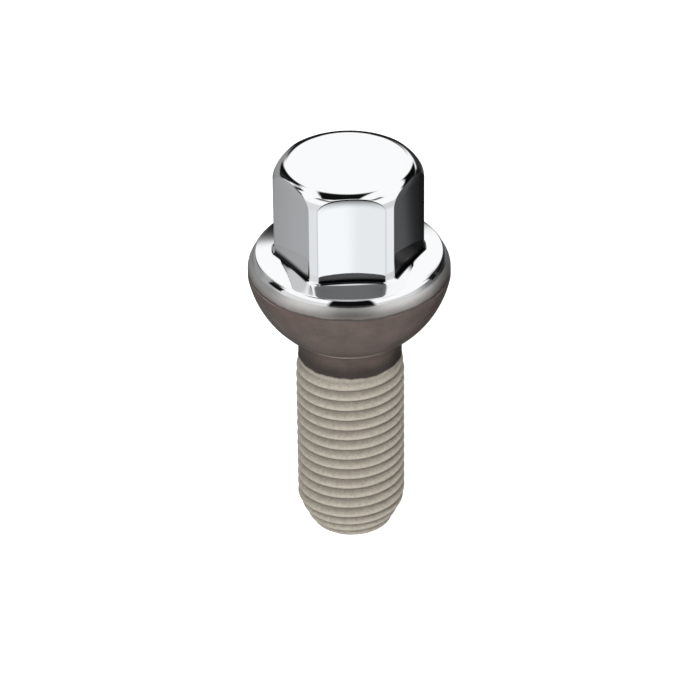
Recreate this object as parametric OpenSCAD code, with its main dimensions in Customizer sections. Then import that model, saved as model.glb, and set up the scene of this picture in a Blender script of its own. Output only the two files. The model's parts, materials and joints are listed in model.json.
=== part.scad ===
// Wheel bolt with a hexagon head, a fixed ball seat and a fine metric thread,
// forged and turned as one piece. It stands on the flat end of its thread, with
// the origin at the centre of that flat and +Z up the axis to the top of the head.

/* [Thread] */
// Diameter over the crests of the thread, as rolled for a nominal 14 mm
thread_d = 13.85; // [13.74:0.01:13.96]
// Length from the flat end to the top of the thread
thread_len = 25.4; // [18:0.1:40]
// Height over which the neck widens into the thread
runout_len = 2.4; // [1:0.1:4]
// Height of the tapered point, from the flat end to the full thread
point_len = 3.6; // [2.5:0.1:6]
// Slope of the point's side, in degrees from the axis
point_slope = 26; // [15:1:30]
// Radius that rounds the flat end into the point
point_edge = 0.4; // [0.1:0.05:0.8]

/* [Neck] */
// Diameter of the plain neck between the thread and the ball
neck_d = 13.2; // [12.6:0.05:13.6]
// Length of the plain neck
neck_len = 2.95; // [1:0.05:10]

/* [Ball] */
// Radius of the ball that seats in the wheel
ball_r = 13.05; // [12.9:0.05:14]
// Diameter of the belt round the ball's widest place
belt_d = 25.56; // [24.8:0.02:25.7]
// Height of that belt
belt_h = 0.95; // [0.4:0.05:1.5]
// Radius of the shoulder that rounds in from the belt up to the rim
shoulder_r = 2.4; // [2.2:0.1:4]

/* [Flange] */
// Diameter of the flange's rim
rim_d = 24.46; // [23.6:0.02:24.7]
// Height of the rim's straight side and its rounded edge together
rim_h = 0.85; // [0.5:0.05:1.5]
// Radius of the rim's upper edge
rim_edge = 0.4; // [0.1:0.05:0.45]
// Slope of the flange's top, in degrees
flange_slope = 12; // [6:1:20]

/* [Hexagon] */
// Width across the flats
head_af = 17; // [16.4:0.1:17.6]
// Diameter of the round that takes off the six corners
corner_d = 18.84; // [18.3:0.02:19.2]
// Height of the head above the rim
head_h = 12.8; // [9:0.1:20]
// Radius that rounds the top of the head into the corners
crown_r = 2.15; // [1:0.05:3]
// Width of the fillet where the head grows out of the flange
root_r = 0.6; // [0.3:0.05:0.9]

/* [Hidden] */

$fn = 96;
hexagon = 6;
root_steps = 4;
root_bite = 0.06;
eps = 0.001;
wide = 2 * rim_d;

thread_r = thread_d / 2;
neck_r = neck_d / 2;
belt_r = belt_d / 2;
rim_r = rim_d / 2;
corner_r = corner_d / 2;
flat_r = head_af / 2;

// Radius of the flat end if it ran sharp into the point's side
point_r = thread_r - point_len * tan(point_slope);
// How far the edge's round reaches along the flat and along the side
edge_reach = point_edge * tan((90 - point_slope) / 2);

// Heights up the axis
runout_z = thread_len - runout_len;
neck_top_z = thread_len + neck_len;
ball_z = neck_top_z + sqrt(ball_r * ball_r - neck_r * neck_r);
belt_z = ball_z - sqrt(ball_r * ball_r - belt_r * belt_r);
shoulder_z = belt_z + belt_h;
shoulder_h = sqrt(pow(shoulder_r, 2) - pow(rim_r - belt_r + shoulder_r, 2));
rim_z = shoulder_z + shoulder_h;
rim_top_z = rim_z + rim_h;
head_top_z = rim_top_z + head_h;

// Where the rim's rounded edge runs into the sloping top
slope_r = rim_r - rim_edge * (1 - sin(flange_slope));
slope_z = rim_top_z - rim_edge * (1 - cos(flange_slope));

// Height of the flange's top at the radius r
function flange_z(r) = slope_z + (slope_r - r) * tan(flange_slope);

// Round of the radius r that bulges out to the left of the chord from a to b.
// It laps inwards over the shape that it rounds.
module round_cap(centre, r, a, b) {
    chord = b - a;
    lap = r / 2;
    intersection() {
        translate(centre)
            circle(r);
        translate(a)
            rotate(atan2(chord[1], chord[0]))
                translate([0, -lap])
                    square([norm(chord), r + lap]);
    }
}

// Tapered point under the thread, its flat end slightly rounded at the edge
module point() {
    flat = [point_r - edge_reach, 0];
    side = [
        point_r + edge_reach * sin(point_slope),
        edge_reach * cos(point_slope)
    ];
    rotate_extrude()
        union() {
            polygon([[0, 0], flat, side, [thread_r, point_len], [0, point_len]]);
            round_cap([flat[0], point_edge], point_edge, side, flat);
        }
}

// Threaded length at the size of its crests, running out into the thinner neck
module threaded_shank() {
    rotate_extrude()
        polygon([
            [0, point_len],
            [thread_r, point_len],
            [thread_r, runout_z],
            [neck_r, thread_len],
            [0, thread_len]
        ]);
}

// Plain round neck
module neck() {
    translate([0, 0, thread_len])
        cylinder(h = neck_top_z - thread_len, r = neck_r);
}

// Ball seat from the neck up to its widest place, with its narrow belt
module ball_seat() {
    rotate_extrude()
        union() {
            intersection() {
                translate([0, ball_z])
                    circle(ball_r);
                translate([0, neck_top_z])
                    square([belt_r, belt_z - neck_top_z]);
            }
            translate([0, belt_z])
                square([belt_r, belt_h]);
        }
}

// Plated shoulder that rounds in from the belt to the rim
module shoulder() {
    inner = belt_r - shoulder_r;
    rotate_extrude()
        union() {
            translate([0, shoulder_z])
                square([inner, shoulder_h]);
            intersection() {
                translate([inner, shoulder_z])
                    circle(shoulder_r);
                translate([inner, shoulder_z])
                    square([shoulder_r, shoulder_h]);
            }
        }
}

// Flange with a straight rim, a rounded upper edge and a top that slopes up
module flange() {
    side = [rim_r, rim_top_z - rim_edge];
    top = [slope_r, slope_z];
    inner_r = flat_r - root_r;
    rotate_extrude()
        union() {
            polygon([
                [0, shoulder_z],
                [neck_r, shoulder_z],
                [neck_r, rim_z],
                [rim_r, rim_z],
                side,
                top,
                [inner_r, flange_z(inner_r)],
                [0, flange_z(inner_r)]
            ]);
            round_cap([rim_r - rim_edge, side[1]], rim_edge, top, side);
        }
}

// Turned blank of the head: a cylinder with its top edge rounded over
module head_blank() {
    inner = corner_r - crown_r;
    crown_z = head_top_z - crown_r;
    rotate_extrude()
        union() {
            translate([0, rim_z])
                square([corner_r, crown_z - rim_z]);
            translate([0, crown_z - eps])
                square([inner, crown_r + eps]);
            intersection() {
                translate([inner, crown_z])
                    circle(crown_r);
                translate([inner, crown_z - eps])
                    square([crown_r, crown_r + 2 * eps]);
            }
        }
}

// Hexagon head with its corners and crown turned round
module hex_head() {
    intersection() {
        head_blank();
        translate([0, 0, rim_z])
            cylinder(h = wide, r = flat_r / cos(180 / hexagon), $fn = hexagon);
    }
}

// Foot of the turned corners, flaring out to the flange in nearly a quarter round.
// The round bites a little into the corners, so the two surfaces cross cleanly.
module corner_foot() {
    foot_r = corner_r + root_r - root_bite;
    foot_z = flange_z(foot_r);
    rotate_extrude()
        difference() {
            translate([0, rim_top_z])
                square([foot_r, foot_z + root_r - rim_top_z]);
            translate([foot_r, foot_z + root_r])
                circle(root_r);
        }
}

// Foot of the flats, flaring out in a few short slopes that follow a quarter round
module flat_foot() {
    foot_z = flange_z(flat_r + root_r);
    for (i = [0 : root_steps - 1]) {
        low = 90 * i / root_steps;
        high = 90 * (i + 1) / root_steps;
        low_r = flat_r + root_r * (1 - sin(low));
        high_r = flat_r + root_r * (1 - sin(high));
        low_z = i == 0 ? rim_top_z : foot_z + root_r * (1 - cos(low));
        high_z = foot_z + root_r * (1 - cos(high));
        translate([0, 0, low_z])
            linear_extrude(height = high_z - low_z, scale = high_r / low_r)
                circle(low_r / cos(180 / hexagon), $fn = hexagon);
    }
}

// Fillet where the hexagon grows out of the flange
module head_root() {
    intersection() {
        flat_foot();
        union() {
            corner_foot();
            translate([0, 0, rim_top_z])
                cylinder(h = crown_r, r = corner_r);
        }
    }
}

// The whole bolt, one piece of steel in its three finishes
module wheel_bolt() {
    union() {
        color([0.62, 0.6, 0.55]) {
            point();
            threaded_shank();
        }
        color([0.4, 0.36, 0.35]) {
            neck();
            ball_seat();
        }
        color([0.85, 0.86, 0.88]) {
            shoulder();
            flange();
            head_root();
            hex_head();
        }
    }
}

wheel_bolt();
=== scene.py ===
# A wheel bolt with a chromed hexagon head, a fixed ball seat and a coated thread,
# standing on the flat end of its thread on a pale floor.

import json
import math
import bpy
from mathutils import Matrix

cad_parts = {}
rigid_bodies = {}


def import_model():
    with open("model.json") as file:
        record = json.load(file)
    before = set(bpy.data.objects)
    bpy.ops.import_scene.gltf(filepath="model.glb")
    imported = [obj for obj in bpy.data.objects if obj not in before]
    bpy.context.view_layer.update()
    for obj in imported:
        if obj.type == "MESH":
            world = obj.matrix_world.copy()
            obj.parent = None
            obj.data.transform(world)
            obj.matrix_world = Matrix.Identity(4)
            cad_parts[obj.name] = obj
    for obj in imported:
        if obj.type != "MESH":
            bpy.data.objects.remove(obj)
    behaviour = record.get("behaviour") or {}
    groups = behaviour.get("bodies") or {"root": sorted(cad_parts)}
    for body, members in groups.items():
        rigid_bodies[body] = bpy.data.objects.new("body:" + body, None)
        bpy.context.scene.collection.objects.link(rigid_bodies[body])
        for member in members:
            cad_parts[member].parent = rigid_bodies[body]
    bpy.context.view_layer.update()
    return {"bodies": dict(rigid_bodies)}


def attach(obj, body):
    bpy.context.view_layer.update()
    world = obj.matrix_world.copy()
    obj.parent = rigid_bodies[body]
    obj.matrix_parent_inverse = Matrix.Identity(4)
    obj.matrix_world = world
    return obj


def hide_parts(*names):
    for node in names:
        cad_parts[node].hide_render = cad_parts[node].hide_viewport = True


bl_info = {
    "name": "Wheel bolt",
    "version": (1, 0, 0),
    "blender": (4, 5, 0),
    "location": "View3D > Sidebar > Wheel bolt",
    "description": "Makes a finished wheel bolt and its studio",
    "category": "Object",
}

import bpy
from mathutils import Quaternion, Vector

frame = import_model()
BODY = next(iter(frame["bodies"]))

MM = 0.001

# Slopes of the flange's top and of the point's side, in degrees
FLANGE_SLOPE = 12
POINT_SLOPE = 26


# Sizes and colours


def length(name, description, default):
    """A length of the bolt, given in millimetres and kept in metres."""
    return bpy.props.FloatProperty(
        name=name,
        description=description,
        default=default * MM,
        precision=5,
        subtype="DISTANCE",
        unit="LENGTH",
    )


def colour(name, description, default):
    """A colour of a finish."""
    return bpy.props.FloatVectorProperty(
        name=name,
        description=description,
        default=default,
        min=0.0,
        max=1.0,
        size=3,
        subtype="COLOR",
    )


def power(name, description, default):
    """Power of a lamp, in watts."""
    return bpy.props.FloatProperty(
        name=name, description=description, default=default, unit="POWER"
    )


class BoltSizes(bpy.types.PropertyGroup):
    """Sizes of the bolt, close to those of its solid."""

    crest_r: length("Crest radius", "Radius over the thread's crests", 6.92)
    root_r: length("Root radius", "Radius at the thread's roots", 6.15)
    pitch: length("Pitch", "Distance from one turn of the thread to the next", 1.5)
    first_root: length("First root", "Height of a root of the thread at the front", 23.04)
    thread_len: length("Thread", "Height of the top of the thread", 25.4)
    point_r: length("Point radius", "Radius of the flat end if its edge were sharp", 5.165)
    point_edge: length("Point edge", "Radius that rounds the edge of the flat end", 0.4)
    neck_r: length("Neck radius", "Radius of the plain neck", 6.6)
    ball_r: length("Ball radius", "Radius of the ball seat", 13.04)
    ball_z: length("Ball height", "Height of the ball's centre", 39.608)
    belt_r: length("Belt radius", "Radius at the ball's widest place", 12.77)
    shoulder_z: length("Shoulder height", "Height where the plated shoulder starts", 37.917)
    shoulder_r: length("Shoulder radius", "Radius that rounds the shoulder", 2.4)
    rim_r: length("Rim radius", "Radius of the foot of the flange's rim", 12.22)
    rim_edge: length("Rim edge", "Radius of the rim's upper edge", 0.2)
    rim_bulge: length("Rim bulge", "Radius of the rim's rounded side", 1.7)
    flange_r: length("Flange radius", "Radius at which the flange's top begins", 11.722)
    level_r: length("Level radius", "Radius at which the flange's height is given", 11.5)
    level_z: length("Level", "Height of the flange's top at the level radius", 40.296)
    flat_r: length("Flat", "Distance from the axis to each flat", 8.495)
    flat_bulge: length("Flat bulge", "Radius to which each flat bulges across", 190.0)
    corner_r: length("Corner radius", "Radius to which the corners are turned", 9.415)
    crown_r: length("Crown radius", "Radius that rounds the top of the head", 2.15)
    foot_r: length("Foot radius", "Radius where the head grows out of the flange", 0.45)
    top_z: length("Top", "Height of the top of the head", 53.09)


class BoltFinish(bpy.types.PropertyGroup):
    """Colours of the bolt's three finishes."""

    chrome: colour("Chrome", "Colour of the chromed head", (0.95, 0.955, 0.965))
    seat: colour("Seat", "Colour of the matte neck and seat", (0.115, 0.092, 0.081))
    coat: colour("Coat", "Colour of the coating on the thread", (0.4, 0.367, 0.313))


class StudioSettings(bpy.types.PropertyGroup):
    """The light and the camera of the studio."""

    world: bpy.props.FloatProperty(
        name="World", description="Light from all round on plain surfaces", default=0.2
    )
    key: power("Key", "Power of the main lamp, in watts", 5.5)
    fill: power("Fill", "Power of the weaker lamp, in watts", 0.5)
    back: power("Back", "Power of the lamp behind, in watts", 2.2)
    lens: bpy.props.FloatProperty(
        name="Lens", description="Focal length of the camera, in millimetres", default=207.2
    )
    elevation: bpy.props.FloatProperty(
        name="Elevation",
        description="Angle at which the camera looks down",
        default=math.radians(33.03),
        subtype="ANGLE",
        unit="ROTATION",
    )


# Shader maths


class Value:
    """A shader's output socket that arithmetic is written on."""

    def __init__(self, graph, socket):
        self.graph = graph
        self.socket = socket

    def maths(self, operation, *values, clamp=False):
        """A maths node of the given values, in their order."""
        settings = {"operation": operation, "use_clamp": clamp}
        return self.graph.node("ShaderNodeMath", settings, dict(enumerate(values)))

    def __add__(self, other):
        return self.maths("ADD", self, other)

    def __sub__(self, other):
        return self.maths("SUBTRACT", self, other)

    def __mul__(self, other):
        return self.maths("MULTIPLY", self, other)

    def __truediv__(self, other):
        return self.maths("DIVIDE", self, other)

    def __rsub__(self, other):
        return self.maths("SUBTRACT", other, self)

    __radd__ = __add__
    __rmul__ = __mul__

    def clamped(self):
        return self.maths("ADD", self, 0.0, clamp=True)

    def absolute(self):
        return self.maths("ABSOLUTE", self)

    def at_least(self, other):
        return self.maths("MAXIMUM", self, other)

    def at_most(self, other):
        return self.maths("MINIMUM", self, other)


class Graph:
    """A node tree, with one way to make its nodes."""

    def __init__(self, tree):
        self.tree = tree
        tree.nodes.clear()

    def node(self, kind, settings=None, inputs=None, output=0):
        """Makes a node: its settings first, then the values or links of its sockets."""
        made = self.tree.nodes.new(kind)
        for name, setting in (settings or {}).items():
            setattr(made, name, setting)
        for name, value in (inputs or {}).items():
            if isinstance(value, Value):
                self.tree.links.new(value.socket, made.inputs[name])
            elif made.inputs[name].type == "RGBA":
                made.inputs[name].default_value = (*value[:3], 1.0)
            else:
                made.inputs[name].default_value = value
        return Value(self, made.outputs[output]) if made.outputs else made

    def mix(self, factor, first, second):
        """A colour between two colours."""
        settings = {"data_type": "RGBA"}
        inputs = {0: factor, 6: first, 7: second}
        return self.node("ShaderNodeMix", settings, inputs, output=2)

    def step(self, value, low, high):
        """0 below low, 1 above high, and a smooth rise between them."""
        settings = {"interpolation_type": "SMOOTHSTEP"}
        inputs = {"Value": value, "From Min": low, "From Max": high}
        return self.node("ShaderNodeMapRange", settings, inputs)

    def band(self, value, rise, fall):
        """1 between a smooth rise and a smooth fall, and 0 outside them."""
        return self.step(value, *rise) * (1 - self.step(value, *fall))

    def window(self, value, low, high, soft):
        """1 between two ends, each as soft as the last value says."""
        return self.band(value, (low - soft, low + soft), (high - soft, high + soft))

    def noise(self, vector, scale, detail=3.0, roughness=0.55):
        """Noise about 0.5, at a scale in turns to the metre."""
        inputs = {"Vector": vector, "Scale": scale, "Detail": detail, "Roughness": roughness}
        return self.node("ShaderNodeTexNoise", {}, inputs)

    def stretched(self, vector, scale):
        """A vector scaled by its own factor on each axis."""
        inputs = {"Vector": vector, "Scale": scale}
        return self.node("ShaderNodeMapping", {"vector_type": "POINT"}, inputs)

    def vector_maths(self, operation, *values, output=0):
        """A vector maths node of the values. Output 1 is its plain number."""
        settings = {"operation": operation}
        return self.node("ShaderNodeVectorMath", settings, dict(enumerate(values)), output)

    def parts(self, vector):
        """The three parts of a vector, by the names of their axes."""
        return {
            name: self.node("ShaderNodeSeparateXYZ", {}, {0: vector}, output=name)
            for name in "XYZ"
        }

    def grey(self, level, tint=(1.0, 1.0, 1.0)):
        """A grey of a level, with a tint."""
        inputs = {index: level * part for index, part in enumerate(tint)}
        return self.node("ShaderNodeCombineColor", {}, inputs)

    def place(self):
        """Where a spot of the object is, in the object's own frame."""
        return self.node("ShaderNodeTexCoord", {}, {}, output="Object")


def new_material(name):
    """A material with an empty node tree."""
    made = bpy.data.materials.new(name)
    made.use_nodes = True
    return made, Graph(made.node_tree)


def shade_of(colour_value, factor):
    """A colour made lighter or darker."""
    return tuple(min(1.0, part * factor) for part in colour_value)


# The bolt's finishes, by height in millimetres

# Heights at which the coat, the plating and the plating's satin part end
COAT_END = (25.6, 25.95)
PLATING_END = (38.2, 38.3)
SATIN_END = (39.42, 39.52)
# Rise and fall of the painted highlight along the ball's lower edge, and of the painted
# highlight on the ridge and the painted shade at the plating's end
LIMB_HIGHLIGHT_BAND = ((28.6, 28.7), (29.4, 30.1))
RIDGE_HIGHLIGHT_BAND = ((37.97, 38.05), (38.12, 38.2))
EDGE_SHADE_BAND = ((38.17, 38.28), (38.4, 38.62))
SEAT_TINT = (0.15, 0.098, 0.088)
# Painted shade for the neck under the ball and for the ball's lower part
NECK_SHADE = (0.035, 0.031, 0.03)
BALL_SHADE = (0.05, 0.038, 0.028)
# Painted highlight along the ball's lower edge
LIMB_HIGHLIGHT = (0.6, 0.52, 0.49)
THIN_PLATING_LOW = (0.38, 0.34, 0.315)
THIN_PLATING_HIGH = (0.74, 0.73, 0.71)
# Painted highlight on the ridge below the plating's edge, and painted shade just above that
# edge
RIDGE_HIGHLIGHT = (0.5, 0.39, 0.36)
PLATING_EDGE_SHADE = (0.05, 0.043, 0.04)
# Painted shade in the corner at the foot of the head
FOOT_SHADE = (0.008, 0.008, 0.009)
# Angles between the flats and the front, one for each pair of flats
FLAT_TURNS = (-60, 0, 60)


class BoltSurface:
    """Places and noises on the bolt that its finishes share."""

    def __init__(self, graph):
        self.graph = graph
        self.place = graph.place()
        self.spots = {name: part * (1 / MM) for name, part in graph.parts(self.place).items()}
        self.height = self.spots["Z"]
        across = graph.vector_maths("MULTIPLY", self.place, (1, 1, 0))
        self.radius = graph.vector_maths("LENGTH", across, output=1) * (1 / MM)
        self.edge = graph.noise(self.place, 260.0, 3.0)
        self.ragged = graph.noise(self.place, 900.0, 4.0)
        self.blotch = graph.noise(self.place, 420.0, 5.0, 0.62)
        self.fine = graph.noise(self.place, 2600.0, 4.0, 0.6)
        self.grain = graph.noise(self.place, 1500.0, 4.0, 0.65)
        self.rings = graph.noise(graph.stretched(self.place, (60.0, 60.0, 5200.0)), 1.0, 3.0)


def seat_colour(surface, colours):
    """Matte steel of the neck and the ball, turned first and so faintly ringed."""
    graph, height = surface.graph, surface.height
    tone = (surface.blotch - 0.5) * 0.9
    tone = tone + (surface.rings - 0.5) * 0.35 + (surface.fine - 0.5) * 0.4
    dark, light = shade_of(colours.seat, 0.5), shade_of(colours.seat, 1.65)
    seat = graph.mix((tone + 0.5).clamped(), dark, light)
    tint = graph.step(graph.noise(surface.place, 190.0, 3.0), 0.4, 0.62)
    seat = graph.mix(tint * 0.35, seat, SEAT_TINT)
    # Painted shade darkens the neck towards the coat and the ball towards its bottom
    neck = (1 - graph.step(height + surface.blotch * 0.8, 26.2, 28.4)) * 0.85
    seat = graph.mix(neck, seat, NECK_SHADE)
    seat = graph.mix((1 - graph.step(height, 29.5, 35.0)) * 0.3, seat, BALL_SHADE)
    # A painted highlight is a pale band along the ball's lower edge
    turned = graph.band(height, *LIMB_HIGHLIGHT_BAND)
    return graph.mix(turned * 0.9, seat, LIMB_HIGHLIGHT)


def coat_colour(surface, colours, sizes):
    """Coating of the thread, paler on the crests where it is rubbed and where a highlight is
    painted, and darker towards the roots as painted shade.
    """
    point_r = surface.height * math.tan(math.radians(POINT_SLOPE)) + sizes.point_r / MM
    full_r = point_r.at_most(sizes.crest_r / MM)
    # Paler towards the crests as rubbed wear and painted highlight, darker towards the roots
    # as painted shade
    crest = (surface.radius - full_r) * 1.3 + 1
    tone = crest * 0.95 + (surface.grain - 0.5) * 0.7
    tone = tone + (surface.fine - 0.5) * (crest * 0.9 + 0.4)
    dark, light = shade_of(colours.coat, 0.55), shade_of(colours.coat, 1.22)
    return surface.graph.mix(tone.clamped(), dark, light)


def foot_shade_mask(surface, sizes):
    """1 in the sharp corner where each flat meets the flange, where shade is painted."""
    graph, radius = surface.graph, surface.radius
    offsets = []
    for turn in FLAT_TURNS:
        slant = math.radians(turn)
        offset = surface.spots["X"] * math.sin(slant) - surface.spots["Y"] * math.cos(slant)
        offsets.append(offset.absolute())
    farthest = offsets[0].at_least(offsets[1]).at_least(offsets[2])
    squared = (radius * radius - farthest * farthest).at_least(0.0)
    along = squared.maths("SQRT", squared)
    out = farthest - sizes.flat_r / MM
    slope = math.tan(math.radians(FLANGE_SLOPE))
    rise = surface.height - flange_height(sizes, 0.0) / MM + radius * slope
    low = (1 - graph.step(out, 0.3, 0.46)) * graph.band(rise, (-0.4, -0.2), (0.1, 0.9))
    return low * (1 - graph.step(along, 3.8, 4.15))


def bolt_finish(colours, sizes):
    """Chrome above, a matte neck and seat, and a coated thread, by height."""
    made, graph = new_material("bolt_finish")
    surface = BoltSurface(graph)
    height, fine, rings = surface.height, surface.fine, surface.rings

    # The plating ends in a ragged line on the ball, and so does the coat on the neck
    plating_edge = height + surface.edge * 0.5 + surface.ragged * 0.3
    plated = graph.step(plating_edge, *PLATING_END)
    coat_edge = height + surface.edge * 0.7 + surface.ragged * 0.3
    coated = 1 - graph.step(coat_edge, *COAT_END)
    coat = coat_colour(surface, colours, sizes)
    matte = graph.mix(coated, seat_colour(surface, colours), coat)

    # Thin plating on the shoulder is satin and shows the steel
    satin = 1 - graph.step(height, *SATIN_END)
    covering = graph.step(height + surface.blotch * 0.6, 38.3, 39.6)
    thin = graph.mix(covering, THIN_PLATING_LOW, THIN_PLATING_HIGH)
    plating = graph.mix(satin, tuple(colours.chrome), thin)

    # A painted highlight on a ridge in places below the plating's edge, and painted shade just
    # above it
    ridge_highlight = graph.band(plating_edge, *RIDGE_HIGHLIGHT_BAND)
    ridge_highlight = ridge_highlight * graph.step(graph.noise(surface.place, 75.0, 2.0), 0.46, 0.58)
    matte = graph.mix(ridge_highlight * 0.4, matte, RIDGE_HIGHLIGHT)
    base = graph.mix(plated, matte, plating)
    # Painted shade along the plating's edge
    edge_shade = graph.band(plating_edge, *EDGE_SHADE_BAND)
    base = graph.mix(edge_shade * 0.7, base, PLATING_EDGE_SHADE)
    # Painted shade in the corner where each flat meets the flange
    base = graph.mix(foot_shade_mask(surface, sizes) * 0.98, base, FOOT_SHADE)

    bare = 1 - plated
    swirl = graph.noise(surface.place, 300.0, 2.0)
    plated_rough = 0.03 + swirl * 0.015 + satin * 0.37
    bare_rough = 0.42 + (fine - 0.5) * 0.2 + coated * 0.25
    metal = plated * (1 - satin * 0.08) + bare * (0.3 - coated * 0.15)
    relief = fine * 0.5 + rings * 0.35 * (1 - coated) + surface.grain * 0.8 * coated
    inputs = {"Height": bare * relief, "Strength": 0.35, "Distance": 0.04 * MM}
    bump = graph.node("ShaderNodeBump", {}, inputs)
    inputs = {
        "Base Color": base,
        "Metallic": metal,
        "Roughness": plated * plated_rough + bare * bare_rough,
        "Normal": bump,
        "Specular IOR Level": 0.15,
    }
    shader = graph.node("ShaderNodeBsdfPrincipled", {}, inputs)
    graph.node("ShaderNodeOutputMaterial", {}, {"Surface": shader})
    return made


# What chrome sees of the studio

# Patches of the studio, each over the ones before it: the ends of its azimuth and how
# soft they are, the same for its elevation, in degrees, and its level
PATCHES = (
    # Left: the flag behind, a glow and a flag above it, and the flags lower down
    ((-160, -137), 3, (14, 50), 3, 0.006),
    ((-140, -130), 1, (43, 52), 1.5, 0.6),
    ((-129, -112), 1, (42, 53), 2, 0.02),
    ((-145, -131), 2, (16, 38), 3, 0.02),
    ((-104, -84), 1.5, (2, 27), 3, 0.008),
    ((-120, -92), 4, (23, 42), 3, 0.03),
    # Right: a strip with a spot, the flag behind and the flag below it
    ((102, 118), 3, (8, 38), 4, 0.06),
    ((102, 112), 1.5, (-4, 20), 3, 0.008),
    ((109, 156.5), 3, (20, 42.5), 2, 0.003),
    ((115, 143), 4, (-4, 22), 5, 0.01),
)


def cover(under, mask, level):
    """A level laid over another one where the mask is 1."""
    return under * (1 - mask) + mask * level


def table_level(graph, azimuth, aside, right):
    """White table, brightest in front, grey to the back left, dark to the back right."""
    front = 0.87 + (1 - graph.step(azimuth, 0.6, 3.6)) * 0.13
    front = cover(front, graph.step(0 - azimuth, 45, 56), 0.8)
    left_side = 0.4 - graph.step(aside, 110, 122) * 0.09
    right_side = 0.085 - graph.step(aside, 115.5, 119.5) * 0.058
    right_side = right_side - graph.step(aside, 118.5, 122) * 0.017
    table = cover(front, graph.step(aside, 72, 100), cover(left_side, right, right_side))
    table = cover(table, graph.window(aside, 24, 50, 6), 0.68)
    return cover(table, graph.window(aside, 135, 181, 8), 0.17)


def wall_level(graph, aside, right):
    """Pale wall round the front half, darker behind."""
    left = 0.74 - graph.step(aside, 80, 100) * 0.36 - graph.step(aside, 110, 120) * 0.08
    right_side = 0.68 - graph.step(aside, 70, 98) * 0.5 - graph.step(aside, 96, 120) * 0.15
    return cover(left, right, right_side)


def overhead_panel(graph, axes):
    """1 where a dark panel hangs over the bolt, by slopes from straight up."""
    up = axes["Z"].at_least(0.05)
    across = axes["X"] / up
    back = axes["Y"] / up
    left_end = graph.step(across - back * 0.36, -0.465, -0.405)
    right_end = 1 - graph.step(across - back * 0.06, 0.145, 0.205)
    return left_end * right_end * graph.band(back, (-0.3, -0.2), (0.55, 0.85))


def softbox_room(graph, direction):
    """What chrome sees of the studio in a direction: white tent, dark flags and panel.

    Azimuth runs from the front to the right and elevation up from the horizon, in degrees.
    """
    axes = graph.parts(direction)
    azimuth = axes["X"].maths("ARCTAN2", axes["X"], 0 - axes["Y"]) * math.degrees(1)
    elevation = axes["Z"].maths("ARCSINE", axes["Z"]) * math.degrees(1)
    aside = azimuth.absolute()
    right = graph.step(azimuth, -20, 20)

    table = table_level(graph, azimuth, aside, right)
    wall = wall_level(graph, aside, right)
    level = cover(table, graph.step(elevation, -27, -4), wall)
    # The white tent starts lower on the right
    tent_low = 22 - right * 7
    level = cover(level, graph.step(elevation - tent_low, -3, 4), 1.0)
    behind = graph.step(aside, 165, 173) * graph.window(elevation, -36, 25, 3)
    level = cover(level, behind, 0.012)
    for azimuths, soft_aside, elevations, soft_up, shade in PATCHES:
        mask = graph.window(azimuth, *azimuths, soft_aside)
        mask = mask * graph.window(elevation, *elevations, soft_up)
        level = cover(level, mask, shade)
    # A dim stretch below the panel in front, and the dark gap under it
    dim = (1 - graph.step(aside, 70, 76)) * graph.window(elevation, 51, 60, 1.5)
    level = cover(level, dim, 0.15)
    gap = (1 - graph.step(aside, 23, 29)) * graph.window(elevation, -22, 52, 4)
    gap = gap * (1 - graph.window(elevation, 3, 7, 1.5) * 0.12)
    level = cover(level, gap, 0.004)
    return cover(level, overhead_panel(graph, axes), 0.005)


# Height from which the table is seen, and its faint tint
TABLE_VIEW = 46 * MM
TABLE_TINT = (0.96, 0.985, 1.0)
WHITE = (1.0, 1.0, 1.0)


def floor_finish():
    """A white floor that keeps the shadow. Chrome sees the studio's table in its place."""
    made, graph = new_material("studio_floor")
    pale = graph.node("ShaderNodeBsdfDiffuse", {}, {"Color": (0.7, 0.7, 0.7)})
    bright = graph.node("ShaderNodeEmission", {}, {"Color": WHITE, "Strength": 0.75})
    black = graph.node("ShaderNodeEmission", {}, {"Strength": 0.0})
    camera = graph.node("ShaderNodeLightPath", {}, {}, output="Is Camera Ray")
    lift = graph.node("ShaderNodeMixShader", {}, {0: camera, 1: black, 2: bright})
    shown = graph.node("ShaderNodeAddShader", {}, {0: pale, 1: lift})
    below = graph.vector_maths("SUBTRACT", graph.place(), (0, 0, TABLE_VIEW))
    level = softbox_room(graph, graph.vector_maths("NORMALIZE", below))
    inputs = {"Color": graph.grey(level, TABLE_TINT), "Strength": 1.0}
    seen = graph.node("ShaderNodeEmission", {}, inputs)
    glossy = graph.node("ShaderNodeLightPath", {}, {}, output="Is Glossy Ray")
    both = graph.node("ShaderNodeMixShader", {}, {0: glossy, 1: shown, 2: seen})
    graph.node("ShaderNodeOutputMaterial", {}, {"Surface": both})
    return made


def world_light(settings):
    """Plain light on matte surfaces. Chrome sees the tent with its flags and panel."""
    world = bpy.data.worlds.new("studio_world")
    bpy.context.scene.world = world
    world.use_nodes = True
    graph = Graph(world.node_tree)
    direction = graph.node("ShaderNodeTexCoord", {}, {}, output="Generated")
    inputs = {"Color": graph.grey(softbox_room(graph, direction)), "Strength": 1.0}
    seen = graph.node("ShaderNodeBackground", {}, inputs)
    inputs = {"Color": WHITE, "Strength": settings.world}
    plain = graph.node("ShaderNodeBackground", {}, inputs)
    glossy = graph.node("ShaderNodeLightPath", {}, {}, output="Is Glossy Ray")
    both = graph.node("ShaderNodeMixShader", {}, {0: glossy, 1: plain, 2: seen})
    graph.node("ShaderNodeOutputWorld", {}, {"Surface": both})


# Ways to build a shape

# Points closer than this, in metres, are one
MERGE = 1e-7


def deselect_all():
    """Leaves edit mode and selects nothing."""
    if bpy.context.mode != "OBJECT":
        bpy.ops.object.mode_set(mode="OBJECT")
    bpy.ops.object.select_all(action="DESELECT")


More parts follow.
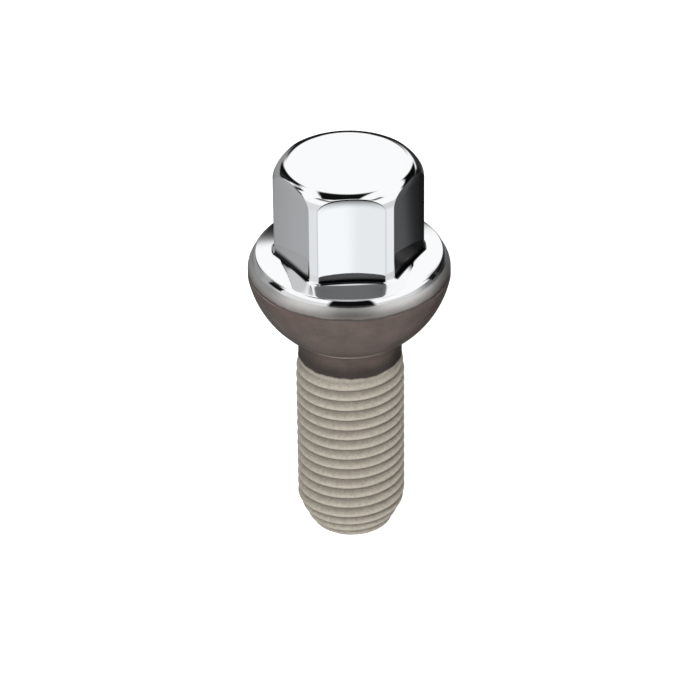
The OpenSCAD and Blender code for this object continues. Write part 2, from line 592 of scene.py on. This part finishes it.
def rolled_sheet(name, columns, rows, place):
    """A sheet of columns and rows that is rolled into a tube, closed along its seam."""
    deselect_all()
    bpy.ops.mesh.primitive_grid_add(x_subdivisions=columns, y_subdivisions=rows, size=1)
    sheet = bpy.context.active_object
    sheet.name = name
    sheet.data.name = name
    for index, vertex in enumerate(sheet.data.vertices):
        row, column = divmod(index, columns + 1)
        vertex.co = place(column, row)
    bpy.ops.object.mode_set(mode="EDIT")
    bpy.ops.mesh.select_all(action="SELECT")
    bpy.ops.mesh.remove_doubles(threshold=MERGE)
    bpy.ops.mesh.normals_make_consistent(inside=False)
    bpy.ops.object.mode_set(mode="OBJECT")
    return sheet


def cut_level(height, **sides):
    """Cuts the whole mesh in edit mode at a height."""
    bpy.ops.mesh.select_all(action="SELECT")
    bpy.ops.mesh.bisect(
        plane_co=(0, 0, height), plane_no=(0, 0, 1), threshold=MERGE, **sides
    )


def on_ring(radius, angle, height):
    """A point at an angle that is counted from the front, to the right."""
    return Vector((radius * math.sin(angle), -radius * math.cos(angle), height))


def smooth_least(first, second, blend):
    """The lesser of two lengths, rounded where they cross."""
    overlap = max(blend - abs(first - second), 0.0) / blend
    return min(first, second) - overlap * overlap * blend / 4


def ramp(value, low, high):
    """0 below low, 1 above high, and a smooth rise between them."""
    part = min(max((value - low) / (high - low), 0.0), 1.0)
    return part * part * (3 - 2 * part)


def arc(centre, radius, first, last, steps, skip=0):
    """Points on an arc in the profile, from one angle to the other, in degrees."""
    points = []
    for step in range(skip, steps + 1):
        angle = math.radians(first + (last - first) * step / steps)
        points.append(
            (centre[0] + radius * math.cos(angle), centre[1] + radius * math.sin(angle))
        )
    return points


def straight(first, last, steps):
    """Points after the first on a straight stretch of the profile."""
    return [
        tuple(a + (b - a) * step / steps for a, b in zip(first, last))
        for step in range(1, steps + 1)
    ]


# The thread

THREAD_COLUMNS = 144
THREAD_TURNS = 18.4
# Parts of the pitch at which the grid has a row
THREAD_PHASES = (0, 0.07, 0.13, 0.2, 0.28, 0.36, 0.43, 0.5, 0.57, 0.64, 0.72, 0.8, 0.87, 0.93)
# Half the width of the crest and of the root, as a part of the pitch
THREAD_FLAT = 0.06
# How far the flanks curve into the crest and the root, as a part of the depth
FLANK_CURVE = 0.05
# Height of the flat end, just inside the solid's, and how far the grid passes the thread's top
END_Z = 0.01 * MM
GRID_OVER_THREAD = 0.3 * MM
# Heights from the thread's top between which its turns run out and its crests meet the neck
RUNOUT = (-2.6 * MM, -0.1 * MM)
CREST_FALL = (-2.9 * MM, GRID_OVER_THREAD)
# Heights from the flat end between which the turns begin and reach their full depth
END_RISE = (-0.3 * MM, 0.9 * MM)
POINT_RISE = (1.4 * MM, 4.0 * MM)
# Depth of the turns on the point, as a part of the full depth
POINT_DEPTH = 0.8
# Width over which the point rounds into the full thread
POINT_BLEND = 0.25 * MM


def thread_depth(phase, sizes):
    """How far the thread is below its crest at a part of its pitch, 0 at the root."""
    away = min(phase, 1 - phase)
    flank = (away - THREAD_FLAT) / (0.5 - 2 * THREAD_FLAT)
    flank = min(max(flank, 0.0), 1.0)
    rounded = flank - FLANK_CURVE * math.sin(2 * math.pi * flank)
    return (sizes.crest_r - sizes.root_r) * (1 - rounded)


def point_radius(sizes, height):
    """Radius of the tapered point, with its flat end's rounded edge."""
    slope = math.radians(POINT_SLOPE)
    edge = sizes.point_edge
    if height < edge * (1 - math.sin(slope)):
        reach = edge * math.tan((math.pi / 2 - slope) / 2)
        fall = edge - max(height, 0.0)
        return sizes.point_r - reach + math.sqrt(max(edge * edge - fall * fall, 0.0))
    return sizes.point_r + height * math.tan(slope)


def make_thread(sizes):
    """The thread: its grid follows the turns, so its crests stay clean."""
    top = sizes.thread_len
    phases = len(THREAD_PHASES)
    lead = sizes.first_root - sizes.pitch * math.floor(sizes.first_root / sizes.pitch + 2)

    def place(column, row):
        turn, phase = divmod(row, phases)
        phase = THREAD_PHASES[phase]
        height = lead + sizes.pitch * (turn + phase + column / THREAD_COLUMNS)
        # The turns run out into the neck, get shallower on the point and end at its flat
        depth = thread_depth(phase, sizes)
        depth *= 1 - ramp(height - top, *RUNOUT)
        depth *= POINT_DEPTH + (1 - POINT_DEPTH) * ramp(height, *POINT_RISE)
        depth *= ramp(height, *END_RISE)
        to_neck = ramp(height - top, *CREST_FALL)
        crest = sizes.crest_r + (sizes.neck_r - sizes.crest_r) * to_neck
        limit = smooth_least(crest, point_radius(sizes, height), POINT_BLEND)
        return on_ring(limit - depth, 2 * math.pi * column / THREAD_COLUMNS, height)

    rows = int(THREAD_TURNS * phases)
    thread = rolled_sheet("wheel_bolt_thread", THREAD_COLUMNS, rows, place)
    deselect_all()
    thread.select_set(True)
    bpy.context.view_layer.objects.active = thread
    bpy.ops.object.mode_set(mode="EDIT")
    cut_level(END_Z, use_fill=True, clear_inner=True)
    cut_level(top + GRID_OVER_THREAD, clear_outer=True)
    bpy.ops.object.mode_set(mode="OBJECT")
    return thread


# The neck, the seat, the flange and the head

SIDES = 6
SECTOR = 2 * math.pi / SIDES
FLAT_COLUMNS = 28
CORNER_COLUMNS = 8
# How far the middle of a flat stands out past its ends
FLAT_STAND = 0.046 * MM
# Angle over which a flat rounds into a corner, and the width of that round
CORNER_SOFT = math.radians(0.6)
CORNER_BLEND = 0.05 * MM
# Half the width of the round where a flat ends below the crown
ARCH_SOFT = 0.11 * MM
# Where the rim's side becomes its upper edge, in degrees up from straight out
RIM_KNEE = 42
# How far above the thread's top the neck's own mesh begins
NECK_OVER_THREAD = 0.4 * MM
# Steps of the profile, from the neck up to the disc on top of the head
NECK_STEPS = 5
BALL_STEPS = 30
BELT_STEPS = 3
SHOULDER_STEPS = 10
RIM_STEPS = 8
EDGE_STEPS = 4
FLANGE_STEPS = 8
FOOT_STEPS = 9
SIDE_STEPS = 10
ROUND_STEPS = 3
CROWN_STEPS = 14
DISC_STEPS = 12


def head_columns(sizes):
    """Angles round the head, closer together at the six turned corners."""
    corner = math.acos((sizes.flat_r - FLAT_STAND) / sizes.corner_r)
    angles = []
    for step in range(FLAT_COLUMNS + 1):
        part = 2 * step / FLAT_COLUMNS - 1
        part = 0.6 * part + 0.4 * math.sin(math.pi / 2 * part)
        angles.append(part * (corner - CORNER_SOFT))
    angles += [corner + part * CORNER_SOFT for part in (-1 / 3, 1 / 3, 1)]
    band = SECTOR - 2 * (corner + CORNER_SOFT)
    for step in range(1, CORNER_COLUMNS):
        angles.append(corner + CORNER_SOFT + band * step / CORNER_COLUMNS)
    angles += [SECTOR - corner - part * CORNER_SOFT for part in (1, 1 / 3, -1 / 3)]
    return [side * SECTOR + angle for side in range(SIDES) for angle in angles]


def flange_height(sizes, radius):
    """Height of the flange's sloping top at a radius."""
    return sizes.level_z + (sizes.level_r - radius) * math.tan(math.radians(FLANGE_SLOPE))


def inward(point, distance, angle):
    """The point that lies back from another one, against an angle in degrees."""
    slant = math.radians(angle)
    return (point[0] - distance * math.cos(slant), point[1] - distance * math.sin(slant))


def lower_profile(sizes):
    """Profile from the neck over the ball, the shoulder and the rim to the flange."""
    neck_angle = -math.degrees(math.acos(sizes.neck_r / sizes.ball_r))
    belt_angle = -math.degrees(math.acos(sizes.belt_r / sizes.ball_r))
    neck_top_z = sizes.ball_z + sizes.ball_r * math.sin(math.radians(neck_angle))
    points = [(sizes.neck_r, sizes.thread_len + NECK_OVER_THREAD)]
    points += straight(points[0], (sizes.neck_r, neck_top_z), NECK_STEPS)
    points += arc((0.0, sizes.ball_z), sizes.ball_r, neck_angle, belt_angle, BALL_STEPS, 1)
    points += straight(points[-1], (sizes.belt_r, sizes.shoulder_z), BELT_STEPS)
    inner = sizes.belt_r - sizes.shoulder_r
    top_angle = math.degrees(math.acos((sizes.rim_r - inner) / sizes.shoulder_r))
    shoulder = (inner, sizes.shoulder_z)
    points += arc(shoulder, sizes.shoulder_r, 0, top_angle, SHOULDER_STEPS, 1)
    # The rim's side bulges, and its upper edge rounds on into the flange's top
    rim_end = 90 - FLANGE_SLOPE
    top = (sizes.flange_r, flange_height(sizes, sizes.flange_r))
    edge = inward(top, sizes.rim_edge, rim_end)
    bulge = inward(edge, sizes.rim_bulge - sizes.rim_edge, RIM_KNEE)
    low_angle = math.degrees(math.asin((points[-1][1] - bulge[1]) / sizes.rim_bulge))
    points += arc(bulge, sizes.rim_bulge, low_angle, RIM_KNEE, RIM_STEPS, 1)
    points += arc(edge, sizes.rim_edge, RIM_KNEE, rim_end, EDGE_STEPS, 1)
    return points


def upper_profile(sizes, angle, start):
    """Profile of the flange's top and the head at one angle from a flat's middle."""
    across = sizes.flat_r * math.tan(angle)
    flat = (sizes.flat_r - across * across / (2 * sizes.flat_bulge)) / math.cos(angle)
    side = smooth_least(flat, sizes.corner_r, CORNER_BLEND)
    # The foot rounds up from the slope of the flange into the side
    foot = sizes.foot_r
    slope = math.radians(FLANGE_SLOPE)
    foot_z = flange_height(sizes, side + foot) + foot / math.cos(slope)
    foot_low = (side + foot - foot * math.sin(slope), foot_z - foot * math.cos(slope))
    points = straight(start, foot_low, FLANGE_STEPS)
    points += arc((side + foot, foot_z), foot, 270 - FLANGE_SLOPE, 180, FOOT_STEPS, 1)
    # The side meets the crown in a small round
    crown_in = sizes.corner_r - sizes.crown_r
    crown_z = sizes.top_z - sizes.crown_r
    tilt = math.acos(min((side - crown_in) / sizes.crown_r, 1.0))
    meet = (side, crown_z + sizes.crown_r * math.sin(tilt))
    low = (side, meet[1] - ARCH_SOFT)
    high_angle = math.degrees(tilt + ARCH_SOFT / sizes.crown_r)
    crown = arc((crown_in, crown_z), sizes.crown_r, high_angle, 90, CROWN_STEPS)
    points += straight(points[-1], low, SIDE_STEPS)
    for step in range(1, ROUND_STEPS + 1):
        part = step / (ROUND_STEPS + 1)
        points.append(tuple(
            (1 - part) ** 2 * a + 2 * part * (1 - part) * b + part * part * c
            for a, b, c in zip(low, meet, crown[0])
        ))
    points += crown
    points += straight(points[-1], (0.0, sizes.top_z), DISC_STEPS)
    return points


def make_upper_body(sizes):
    """Neck, ball seat, flange and head, by profiles that change round the hexagon."""
    lower = lower_profile(sizes)
    angles = head_columns(sizes)
    profiles = []
    for angle in angles:
        from_flat = (angle + SECTOR / 2) % SECTOR - SECTOR / 2
        profiles.append(lower + upper_profile(sizes, from_flat, lower[-1]))
    columns = len(angles)
    rows = len(profiles[0]) - 1

    def place(column, row):
        column %= columns
        radius, height = profiles[column][row]
        return on_ring(radius, angles[column], height)

    return rolled_sheet("wheel_bolt_finish", columns, rows, place)


def join_and_close(body, thread):
    """Joins the thread to the neck with one band of faces, so the bolt is one skin."""
    deselect_all()
    thread.select_set(True)
    body.select_set(True)
    bpy.context.view_layer.objects.active = body
    bpy.ops.object.join()
    bpy.ops.object.mode_set(mode="EDIT")
    bpy.ops.mesh.select_all(action="DESELECT")
    bpy.ops.mesh.select_mode(type="EDGE")
    bpy.ops.mesh.select_non_manifold(
        extend=False, use_wire=False, use_boundary=True, use_multi_face=False,
        use_non_contiguous=False, use_verts=False,
    )
    bpy.ops.mesh.bridge_edge_loops()
    bpy.ops.mesh.select_mode(type="VERT")
    bpy.ops.mesh.select_all(action="SELECT")
    bpy.ops.mesh.normals_make_consistent(inside=False)
    bpy.ops.mesh.faces_shade_smooth()
    bpy.ops.object.mode_set(mode="OBJECT")


class WHEELBOLT_OT_bolt(bpy.types.Operator):
    """Makes the finished bolt in place of its plain solid"""

    bl_idname = "wheel_bolt.bolt"
    bl_label = "Bolt"

    def execute(self, context):
        sizes = context.scene.bolt_sizes
        thread = make_thread(sizes)
        body = make_upper_body(sizes)
        join_and_close(body, thread)
        body.data.materials.clear()
        body.data.materials.append(bolt_finish(context.scene.bolt_finish, sizes))
        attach(body, BODY)
        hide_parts("wheel_bolt")
        return {"FINISHED"}


# The studio

# Name, place and size of each lamp, in metres. The settings hold its power.
LAMPS = (
    ("key", (-0.12, -0.58, 0.46), 0.3),
    ("fill", (0.58, -0.34, 0.4), 0.4),
    ("back", (0.06, 0.62, 0.34), 0.4),
)
LAMP_TARGET = Vector((0, 0, 0.026))
CAMERA_TARGET = Vector((0, 0, 0.025366))
CAMERA_DISTANCE = 0.5133
# How far the camera stands to the left of the front, and how far it is rolled
CAMERA_ASIDE = math.radians(2.3)
CAMERA_ROLL = math.radians(-0.53)
FLOOR_SIZE = 6


def area_lamp(name, place, size, watts):
    """A square lamp that points at the bolt. Chrome doesn't see it."""
    deselect_all()
    bpy.ops.object.light_add(type="AREA", location=place)
    lamp = bpy.context.active_object
    lamp.name = name
    lamp.data.name = name
    lamp.rotation_euler = (LAMP_TARGET - Vector(place)).to_track_quat("-Z", "Y").to_euler()
    lamp.data.size = size
    lamp.data.energy = watts
    lamp.visible_glossy = False


def add_camera(settings):
    """The camera, a little left of the front and well above the bolt."""
    flat = math.cos(settings.elevation)
    direction = Vector((
        -math.sin(CAMERA_ASIDE) * flat,
        -math.cos(CAMERA_ASIDE) * flat,
        math.sin(settings.elevation),
    ))
    deselect_all()
    bpy.ops.object.camera_add(location=CAMERA_TARGET + direction * CAMERA_DISTANCE)
    camera = bpy.context.active_object
    camera.name = "studio_camera"
    roll = Quaternion((0, 0, 1), CAMERA_ROLL)
    camera.rotation_euler = (direction.to_track_quat("Z", "Y") @ roll).to_euler()
    camera.data.lens = settings.lens
    camera.data.sensor_width = 36
    camera.data.clip_start = 0.01
    bpy.context.scene.camera = camera


def add_floor():
    """A wide pale floor under the bolt."""
    deselect_all()
    bpy.ops.mesh.primitive_plane_add(size=FLOOR_SIZE, location=(0, 0, 0))
    floor = bpy.context.active_object
    floor.name = "studio_floor"
    floor.data.materials.append(floor_finish())


class WHEELBOLT_OT_studio(bpy.types.Operator):
    """Lays the pale floor and sets the lamps, the world and the camera"""

    bl_idname = "wheel_bolt.studio"
    bl_label = "Studio"

    def execute(self, context):
        settings = context.scene.bolt_studio
        add_camera(settings)
        add_floor()
        for name, place, size in LAMPS:
            area_lamp(name + "_lamp", place, size, getattr(settings, name))
        world_light(settings)
        context.scene.view_settings.view_transform = "Standard"
        return {"FINISHED"}


# The panel and the add-on


class WHEELBOLT_PT_panel(bpy.types.Panel):
    """Lists what makes the wheel bolt"""

    bl_idname = "WHEELBOLT_PT_panel"
    bl_label = "Wheel bolt"
    bl_space_type = "VIEW_3D"
    bl_region_type = "UI"
    bl_category = "Wheel bolt"

    def draw(self, context):
        layout = self.layout
        for group_name, group_class in GROUPS.items():
            group = getattr(context.scene, group_name)
            for name in group_class.__annotations__:
                layout.prop(group, name)
        layout.operator(WHEELBOLT_OT_bolt.bl_idname)
        layout.operator(WHEELBOLT_OT_studio.bl_idname)


GROUPS = {
    "bolt_sizes": BoltSizes,
    "bolt_finish": BoltFinish,
    "bolt_studio": StudioSettings,
}
CLASSES = (*GROUPS.values(), WHEELBOLT_OT_bolt, WHEELBOLT_OT_studio, WHEELBOLT_PT_panel)


def register():
    for each in CLASSES:
        bpy.utils.register_class(each)
    for name, group in GROUPS.items():
        setattr(bpy.types.Scene, name, bpy.props.PointerProperty(type=group))


def unregister():
    for name in GROUPS:
        delattr(bpy.types.Scene, name)
    for each in reversed(CLASSES):
        bpy.utils.unregister_class(each)


def main():
    register()
    bpy.ops.wheel_bolt.bolt()
    bpy.ops.wheel_bolt.studio()


if __name__ == "__main__":
    main()
